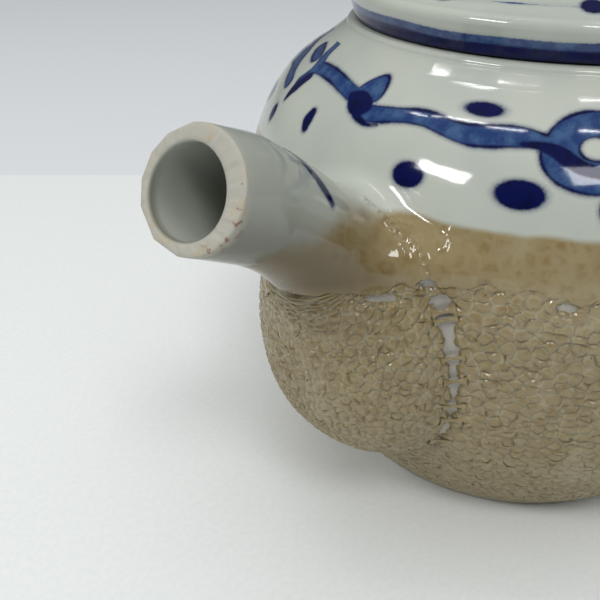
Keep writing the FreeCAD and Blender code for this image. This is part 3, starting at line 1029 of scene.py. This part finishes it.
def pouch_glaze():
    """The crawled glaze on the bag. Its seeds lie on a spiral over a ball, each a little out of place."""
    count = int(4 * math.pi * POUCH_AXES.mean() ** 2 / (0.866 * POUCH_CELL ** 2))
    index = np.arange(count) + 0.5
    tilt, turn = np.arccos(1 - 2 * index / count), math.pi * (1 + 5 ** 0.5) * index
    ball = np.stack([-np.cos(tilt), np.sin(tilt) * np.cos(turn), np.sin(tilt) * np.sin(turn)], -1)
    ball = unit(ball + RANDOM.normal(0, 0.2 * POUCH_CELL / POUCH_AXES.mean(), ball.shape))
    ball = ball[ball[:, 0] < 0.35]
    seeds = ball[:, 1:] / (1 - ball[:, :1]) * POUCH_FLAT
    points, _ = on_pouch(seeds)
    wanted = (body_distance(points) > -1.2) & (points[:, 2] < CRAWL_TOP + 1.5) & (ball[:, 0] < 0.25)
    parts = crackle(seeds, wanted, on_pouch, pouch_shrink)
    finish_crackle("pouch_glaze", parts, pouch_cover, "pot", ["spout_pouch"])


# ---- Glaze bridges over the crease ----
BRIDGES = (                  # side of the bag, height, half width at the middle of each strand
    (-1, 54.2, 0.3), (-1, 52.9, 0.22), (-1, 46.6, 0.2), (-1, 42.3, 0.26), (-1, 37.0, 0.22), (-1, 33.5, 0.3),
    (-1, 27.0, 0.3), (1, 53.5, 0.3), (1, 49.0, 0.22), (1, 44.0, 0.28), (1, 37.2, 0.22), (1, 30.5, 0.3))
BRIDGE_SIDES = 20


def crease_point(side, height):
    """Where the bag meets the wall on one side, at a height."""
    turn = np.radians(np.linspace(180, 180 - 30 * side, 400))
    points = np.stack([radius_at(height) * np.cos(turn), radius_at(height) * np.sin(turn),
                       np.full(len(turn), height)], -1)
    return points[np.abs(growth_distance(points)).argmin()]


def bridges():
    points, quads = [], []
    along = 13
    turn = around(BRIDGE_SIDES)
    for side, height, half in BRIDGES:
        middle = crease_point(side, height)
        out_body = unit(gradient(body_distance, middle))
        out_pouch = unit(gradient(growth_distance, middle))
        up = unit(np.cross(out_body, out_pouch)) * side
        up = up * np.sign(up[2])
        middle = middle + unit(out_body + out_pouch) * 0.25
        across_body, across_pouch = np.cross(up, out_body), np.cross(up, out_pouch)
        across_body = across_body * np.sign(across_body @ out_pouch)
        across_pouch = across_pouch * np.sign(across_pouch @ out_body)
        start = settle(pot_distance, middle + across_body * 1.9)
        end = settle(pot_distance, middle + across_pouch * 1.9)
        for k in range(along):
            t = k / (along - 1)
            flared = 1 + 2.6 * abs(2 * t - 1) ** 2.2
            centre = (1 - t) ** 2 * start + 2 * t * (1 - t) * middle + t * t * end
            centre = centre - unit(out_body + out_pouch) * 0.3
            out = unit((1 - t) * out_body + t * out_pouch)
            ring = (centre + np.cos(turn)[:, None] * up * half * flared
                    + np.sin(turn)[:, None] * out * (0.2 + 0.2 * abs(2 * t - 1)))
            points.append(ring)
        first = len(quads) * along * BRIDGE_SIDES
        quads.append(grid_faces(along, BRIDGE_SIDES, True) + first)
    points = np.concatenate(points)
    fields = glaze_fields(points, cell=np.full(len(points), 0.3))
    make_piece("glaze_bridges", points, quads, "pot", GLAZE, (), fields)


# ---- Spout end ----
FACETS = (22, 48, 71, 97, 122, 156, 186)   # ends of the ground facets, degrees from the lip's top to the left
WORN_TURN = 243              # degrees round the lip to where it is worn round and stained with rust


def spout_ring(back, radius, turn):
    """Points round the tube's centre line. Turn 0 is up and 90 degrees is to the left."""
    centre = LIP - back[:, None] * OUTWARD + bow(back)[:, None] * SPOUT_UP
    return centre + (radius * np.cos(turn))[:, None] * SPOUT_UP + (radius * np.sin(turn))[:, None] * LEFT


def lip_radius(turn):
    """The lip's outer radius, flattened at the ground facets."""
    degrees = np.degrees(turn) % 360
    radius = np.full(len(turn), flare_at(0.0))
    for start, end in zip(FACETS, FACETS[1:]):
        middle, half = math.radians((start + end) / 2), math.radians((end - start) / 2)
        chord = (flare_at(0.0) - 0.05) * math.cos(half) / np.cos(np.radians(degrees) - middle)
        here = (degrees >= start) & (degrees <= end)
        radius = np.where(here, chord, radius)
    return radius


def spout_end():
    segments = 180
    turn = around(segments)
    facing = np.array([-math.cos(LIP_TILT) * math.cos(LIP_TURN), -math.cos(LIP_TILT) * math.sin(LIP_TURN),
                       math.sin(LIP_TILT)])

    def cut_back(radius, shift=(0.0, 0.0)):
        """How far behind the lip's centre the lip plane crosses each line along the tube."""
        back = np.zeros(segments)
        for _ in range(12):
            p = spout_ring(back, radius, turn) + shift[0] * SPOUT_UP + shift[1] * LEFT
            back = back + ((p - LIP) @ facing) / (OUTWARD @ facing)
        return back

    plain = np.full(segments, flare_at(0.0))
    cut = lip_radius(turn)
    ground = plain - cut
    outer_back = cut_back(cut)
    rough = ripple(np.degrees(turn), (0.05, 0.21, 0), (0.04, 0.47, 1), (0.03, 0.83, 2))
    rings, bisque = [], []

    def ring(back, radius, bare, shift=(0.0, 0.0)):
        rings.append(spout_ring(back, radius, turn) + shift[0] * SPOUT_UP + shift[1] * LEFT)
        bisque.append(np.full(segments, bare) if np.isscalar(bare) else bare)

    for behind in (12.5, 11.0, 9.5, 8.0, 6.5, 5.0):
        back = np.full(segments, behind)
        tuck = 0.15 * float(step(9.0, 12.5, behind))
        ring(back, flare_at(back) - tuck, 0.0)
    worn = np.exp(-(((np.degrees(turn) - WORN_TURN + 180) % 360 - 180) / 42) ** 2)
    bevel = 0.5 + 1.2 * ground + 1.3 * worn
    for share in (1.6, 1.0):
        back = outer_back + bevel * share
        ring(back, flare_at(back) - 0.02, 0.0)
    for share, bare in ((0.66, 0.35), (0.33, 0.8)):
        back = outer_back + bevel * share
        ring(back, flare_at(back) * share + cut * (1 - share) - 0.05, bare * np.ones(segments))
    ring(outer_back + 0.12, cut - 0.04, 1.0)
    ring(outer_back, cut - 0.16, 1.0)
    bore = np.full(segments, BORE_RADIUS)
    bore_edge = bore + 0.1 * ripple(turn, (1, 2, 0.5), (0.6, 3, 1.0))
    for share in (0.25, 0.5, 0.75):
        radius = (cut - 0.2) * (1 - share) + (bore_edge + 0.25) * share
        shift = (BORE_SHIFT[0] * share, BORE_SHIFT[1] * share)
        back = cut_back(radius, shift)
        ring(back + rough * 1.2 - 0.02, radius, 1.0, shift)
    back = cut_back(bore_edge + 0.2, BORE_SHIFT)
    ring(back + 0.03, bore_edge + 0.2, 0.95, BORE_SHIFT)
    ring(back + 0.18, bore_edge + 0.02, 0.6, BORE_SHIFT)
    ring(back + 0.6, bore, 0.15, BORE_SHIFT)
    for deeper in (1.5, 3, 5, 8, 11, 14, 18, 22, 26, 30):
        share = max(0.0, 1 - deeper / 14)
        ring(back * share + deeper, bore - 0.25 * min(1.0, deeper / 10), 0.0,
             (BORE_SHIFT[0] * share, BORE_SHIFT[1] * share))
    points = np.concatenate(rings)
    quads = grid_faces(len(rings), segments, True)[:, ::-1]
    fields = glaze_fields(points, bisque=np.concatenate(bisque), cell=np.tile(0.5 + 0.5 * worn, len(rings)),
                          shade=painted_tube_shade(points))
    fields["dip"][:] = np.maximum(fields["dip"], 3.0)
    # Painted shade inside the bore.
    fields["shade"][-10 * segments:] = 0.3
    make_piece("spout_end", points, [quads], "pot", GLAZE, ["spout_tube"], fields)


# ---- Turned pieces ----
def neck_rim():
    heights = np.linspace(COLLAR_BOTTOM - 0.6, NECK_TOP - 1.0, 9)
    tucked = 0.15 * (1 - step(COLLAR_BOTTOM - 0.6, COLLAR_BOTTOM + 0.5, heights))
    outside = list(zip(radius_at(heights) - tucked, heights))
    last = outside[-1][0]
    outline = outside + arc((last - 1.0, NECK_TOP - 1.0), 1.0, 0, 90, 7)
    outline += arc((MOUTH_RADIUS + 0.9, NECK_TOP - 0.9), 0.9, 90, 180, 7)
    outline += [(MOUTH_RADIUS, NECK_TOP - 2), (MOUTH_RADIUS, NECK_TOP - 4)]
    points, quads = turned(outline, 256)
    make_piece("neck_rim", points, [quads], "pot", GLAZE, ["neck_collar"],
               glaze_fields(points))


def pot_inside():
    """The inside wall and floor, with the port behind the bag left open."""
    heights = np.linspace(NECK_TOP - 4, 14.0, 60)
    slope = np.interp(heights, OUTLINE[:, 1], OUTLINE_SLOPE)
    size = np.sqrt(1 + slope ** 2)
    wall = np.stack([radius_at(heights) - WALL / size, heights + WALL * slope / size], -1)
    wall = wall[wall[:, 0] > MOUTH_RADIUS]
    low_r = wall[-1][0]
    outline = [(MOUTH_RADIUS, NECK_TOP - 4), (MOUTH_RADIUS, wall[0][1] + 0.4)] + [tuple(w) for w in wall]
    outline += arc((low_r - FLOOR_ROUND - 0.6, FLOOR_TOP + FLOOR_ROUND), FLOOR_ROUND, -8, -90, 8)
    outline += [(low_r * share, FLOOR_TOP) for share in (0.7, 0.5, 0.3, 0.15, 0.03)]
    points, quads = turned(outline, 192)
    centres = points[quads].mean(1)
    in_port = (np.hypot(centres[:, 1], centres[:, 2] - PORT_HEIGHT) < PORT_RADIUS) & (centres[:, 0] < 0)
    quads = quads[~in_port]
    points, fan = capped(points, len(outline), 192, FLOOR_TOP)
    make_piece("pot_inside", points, [quads, fan], "pot", PLAIN, ["pot_body"])


def foot():
    inner, low = FOOT_INNER, float(radius_at(0.0))
    outline = [(float(radius_at(FOOT_HEIGHT)) - 0.1, FOOT_HEIGHT + 0.15), (float(radius_at(1.6)) - 0.03, 1.6)]
    outline += arc((low - 0.25, FOOT_ROUND), FOOT_ROUND, 0, -90, 6)
    outline += [(low - 2.5, 0.0), (inner + 1.2, 0.0)]
    outline += arc((inner + 0.6, 0.6), 0.6, -90, -180, 6)
    outline += [(inner, 2.2), (inner - 0.8, 3.0), (inner - 8, 3.2), (inner - 18, 3.2), (0.5, 3.2)]
    points, quads = turned(outline, 192)
    make_piece("foot", points, [quads], "pot", BARE, ["foot_ring"])


# ---- Handle ----
def handle():
    rings, segments = 110, 48
    path = natural_spline(HANDLE_PATH, rings)
    along = unit(np.gradient(path, axis=0))
    turn = around(segments)
    points = []
    for (x, z), (dx, dz) in zip(path, along):
        centre, out = np.array([x, 0, z]), np.array([-dz, 0, dx])
        ring = (centre + HANDLE_HALF_THICK * np.cos(turn)[:, None] * out
                + HANDLE_HALF_WIDTH * np.sin(turn)[:, None] * LEFT)
        flared = 1 + 0.42 * np.exp(-np.maximum(body_distance(ring), 0) / 1.8)
        points.append(centre + (ring - centre) * (flared[:, None] - 0.012))
    points = np.concatenate(points)
    quads = grid_faces(rings, segments, True)
    top = np.abs(points[:, 1]) - 1.3
    share = np.repeat(np.linspace(0, 1, rings), segments)
    outer = np.tile(np.cos(turn), rings)
    stroke_end = np.maximum(share - 0.36, 0.06 - share) * 120
    dark = np.maximum(np.maximum(top + 1.2 * (share - 0.2) * 3, stroke_end), (0.3 - outer) * 4)
    fields = glaze_fields(points, dark=dark)
    make_piece("handle", points, [quads], "pot", GLAZE, ["handle_loop"], fields)


# ---- Lid ----
LID_DOTS, LID_DOT_RING, LID_DOT_RADIUS = 10, 32.6, 1.7


def lid():
    edge, foot_edge_round, side_rings = LID_EDGE_ROUND, 0.5, 15
    top_of_side = LID_SEAT + LID_EDGE_HEIGHT
    low = (LID_FOOT_RADIUS - foot_edge_round, LID_SEAT + foot_edge_round)
    outline = [(FLANGE_INNER, LID_SEAT + 0.02), (low[0], LID_SEAT)]
    outline += arc(low, foot_edge_round, -80, -10, 5)
    for k in range(1, side_rings + 1):
        share = k / side_rings
        outline.append((LID_FOOT_RADIUS + (LID_RADIUS - LID_FOOT_RADIUS) * share,
                        low[1] + (LID_EDGE_HEIGHT - foot_edge_round) * share))
    outline += arc((LID_RADIUS - edge, top_of_side), edge, 6, 84, 9)
    outline += crown(LID_RADIUS - edge, top_of_side + edge, LID_TOP, 40)[1:-1]
    points, quads = turned(outline, 288)
    points, fan = capped(points, len(outline), 288, LID_TOP)
    azimuth = np.radians(azimuth_of(points))
    z, radius = points[:, 2], np.hypot(points[:, 0], points[:, 1])
    band_top = LID_SEAT + 2.9 + ripple(azimuth, (0.12, 5, 0.4), (0.08, 13, 1.0))
    side, dome = radius > 34, z > top_of_side + 1
    band = np.where(side, z - band_top, FAR)
    # Darker cobalt over the lower part of the band: partly the ink's own darker tone, partly painted shade
    # where the lid meets the shoulder.
    dark = np.where(side, z - band_top + 1.1, FAR)
    line = np.abs(radius - 33.4 - ripple(azimuth, (0.5, 3, 0.2), (0.25, 8, 1.0))) - 0.22
    line = np.where(dome, line, FAR)
    for k in range(LID_DOTS):
        spot = math.radians(360 * k / LID_DOTS + 34)
        middle = LID_DOT_RING * np.array([math.cos(spot), math.sin(spot)])
        gap = np.hypot(*(points[:, :2] - middle).T)
        dark = np.minimum(dark, np.where(dome, gap - LID_DOT_RADIUS, FAR))
    fields = glaze_fields(points, dark=dark, wash=np.minimum(band, line))
    make_piece("lid", points, [quads[:, ::-1], fan[:, ::-1]], "lid", GLAZE,
               ["lid_dome"], fields)


def lid_underside():
    """The flange that sits in the mouth, and the hollow under the dome."""
    outline = [(FLANGE_OUTER + 0.6, LID_SEAT + 0.2)]
    outline += arc((FLANGE_OUTER + 0.6 - 0.02, LID_SEAT - 0.6), 0.6, 90, 180, 4)
    outline += [(FLANGE_OUTER, LID_SEAT - 2), (FLANGE_OUTER, FLANGE_BOTTOM + 1)]
    outline += arc((FLANGE_OUTER - 1, FLANGE_BOTTOM + 1), 1.0, 0, -90, 5)
    outline += arc((FLANGE_INNER + 1, FLANGE_BOTTOM + 1), 1.0, -90, -180, 5)
    outline += [(FLANGE_INNER, LID_SEAT - 2), (FLANGE_INNER, LID_SEAT)]
    outline += crown(FLANGE_INNER, LID_SEAT, LID_TOP - LID_WALL, 16)[1:-1] + [(0.3, LID_TOP - LID_WALL)]
    points, quads = turned(outline, 192)
    make_piece("lid_underside", points, [quads[:, ::-1]], "lid", PLAIN, ["lid_flange"])


def knob():
    profile = natural_spline(KNOB_PROFILE, 60)
    outline = [tuple(p) for p in profile] + crown(*KNOB_PROFILE[-1], KNOB_TOP, 12)[1:-1]
    points, quads = turned(outline, 96)
    points, fan = capped(points, len(outline), 96, KNOB_TOP)
    z, radius = points[:, 2], np.hypot(points[:, 0], points[:, 1])
    ring = np.abs(z - 105.2) - 0.5
    cap = radius - 3.0
    fields = glaze_fields(points, dark=np.minimum(ring, np.where(z > 109, cap, FAR)))
    make_piece("knob", points, [quads[:, ::-1], fan[:, ::-1]], "lid", GLAZE,
               ["lid_knob"], fields)


# ---- Stage ----
WINDOW_DISTANCE = 0.9
CEILING_TUBES = (            # ends of each tube, x and y in metres
    ((-0.17, 0.82), (-0.18, 0.65)), ((-0.165, 0.60), (-0.11, 0.25)), ((-0.15, 0.24), (-0.08, 0.02)),
    ((0.11, -0.17), (0.18, -0.26)))
TUBE_HEIGHT, TUBE_WIDTH, TUBE_RADIANCE = 1.4, 0.014, 34
BOUNCE_HEIGHT, BOUNCE_WIDTH, BOUNCE_RADIANCE = 1.5, 2.4, 0.82
ROOM_LOW = (0.13, 0.133, 0.135, 1)   # the room's brightness from the horizon to halfway up
ROOM_HIGH = (0.34, 0.345, 0.35, 1)   # and overhead
CLOTH_EDGE = 0.136           # from the pot's axis to the far edge of the cloth, away from the camera
EYE = (-0.1267, -0.0632, 0.1082)
VIEW_TILT, VIEW_TURN = math.radians(58.36), math.radians(-44.78)
LENS, SENSOR_WIDTH = 43.2, 36.0


def floor():
    """A pale cloth on a paler table, which shows beyond the cloth's far edge."""
    mesh = bpy.data.meshes.new("floor")
    reach = 4.0
    mesh.from_pydata([(-reach, -reach, 0), (reach, -reach, 0), (reach, reach, 0), (-reach, reach, 0)],
                     [], [(0, 1, 2, 3)])
    piece = bpy.data.objects.new("floor", mesh)
    bpy.context.scene.collection.objects.link(piece)
    s = Shader("floor_cloth")
    split = s.tree.nodes.new("ShaderNodeSeparateXYZ")
    s.put(split.inputs[0], s.place)
    ahead = s.math("ADD", s.times(split.outputs["X"], -math.sin(VIEW_TURN)),
                   s.times(split.outputs["Y"], math.cos(VIEW_TURN)))
    weave = s.noise(0.9, 3.0, 0.6)
    cloth = s.mix(s.between(weave, 0.3, 0.7), colour(237, 240, 239), colour(232, 236, 235))
    s.put(s.surface.inputs["Base Color"],
          s.mix(s.between(ahead, CLOTH_EDGE, CLOTH_EDGE + 0.001), cloth, colour(226, 229, 232)))
    s.surface.inputs["Roughness"].default_value = 0.85
    mesh.materials.append(s.material)


def area_light(name, place, turn, width, height, radiance):
    """A soft rectangular light. Its power follows from how bright its face is."""
    data = bpy.data.lights.new(name, "AREA")
    data.shape = "RECTANGLE"
    data.size, data.size_y = width, height
    data.energy = radiance * math.pi * width * height
    light = bpy.data.objects.new(name, data)
    light.location, light.rotation_euler = place, turn
    bpy.context.scene.collection.objects.link(light)
    return light


def window(name, azimuth, elevation, width, height, radiance):
    """A window's light, facing the pot."""
    a, e = math.radians(azimuth), math.radians(elevation)
    away = Vector((math.cos(a) * math.cos(e), math.sin(a) * math.cos(e), math.sin(e)))
    area_light(name, away * WINDOW_DISTANCE + Vector((0, 0, 0.06)), away.to_track_quat("Z", "Y").to_euler(),
               width, height, radiance)


def strip(name, start, end, height, width, radiance):
    """A long ceiling light that faces the floor, between two points."""
    start, end = Vector((*start, height)), Vector((*end, height))
    turn = (0, 0, math.atan2(end.y - start.y, end.x - start.x))
    return area_light(name, (start + end) / 2, turn, (end - start).length, width, radiance)


def lights():
    window("window_one", 170, 39.5, 0.27, 0.10, 26.0)
    window("window_two", 236, 52, 0.24, 0.20, 11.0)
    for k, (begin, finish) in enumerate(CEILING_TUBES):
        strip("ceiling_tube_%d" % (k + 1), begin, finish, TUBE_HEIGHT, TUBE_WIDTH, TUBE_RADIANCE)
    half = BOUNCE_WIDTH / 2
    softener = strip("ceiling_bounce", (-half, 0.0), (half, 0.0), BOUNCE_HEIGHT, BOUNCE_WIDTH,
                     BOUNCE_RADIANCE)
    softener.visible_glossy = False
    world = bpy.data.worlds.new("room")
    world.use_nodes = True
    tree = world.node_tree
    direction = tree.nodes.new("ShaderNodeTexCoord")
    split = tree.nodes.new("ShaderNodeSeparateXYZ")
    rise = tree.nodes.new("ShaderNodeMapRange")
    mixed = tree.nodes.new("ShaderNodeMix")
    mixed.data_type = "RGBA"
    rise.interpolation_type = "SMOOTHSTEP"
    rise.inputs["From Min"].default_value, rise.inputs["From Max"].default_value = 0.5, 1.0
    mixed.inputs[6].default_value, mixed.inputs[7].default_value = ROOM_LOW, ROOM_HIGH
    tree.links.new(direction.outputs["Generated"], split.inputs[0])
    tree.links.new(split.outputs["Z"], rise.inputs["Value"])
    tree.links.new(rise.outputs["Result"], mixed.inputs[0])
    tree.links.new(mixed.outputs[2], tree.nodes["Background"].inputs["Color"])
    bpy.context.scene.world = world
    bpy.context.scene.view_settings.view_transform = "Standard"


def camera():
    data = bpy.data.cameras.new("camera")
    data.lens, data.sensor_width = LENS, SENSOR_WIDTH
    data.clip_start, data.clip_end = 0.005, 20
    eye = bpy.data.objects.new("camera", data)
    eye.location = EYE
    eye.rotation_euler = (VIEW_TILT, 0, VIEW_TURN)
    bpy.context.scene.collection.objects.link(eye)
    bpy.context.scene.camera = eye


skin()
under_wall()
belly_glaze()
pouch_glaze()
bridges()
spout_end()
neck_rim()
pot_inside()
foot()
handle()
lid()
lid_underside()
knob()
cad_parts["spout_strainer"].data.materials.clear()
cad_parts["spout_strainer"].data.materials.append(PLAIN)
floor()
lights()
camera()
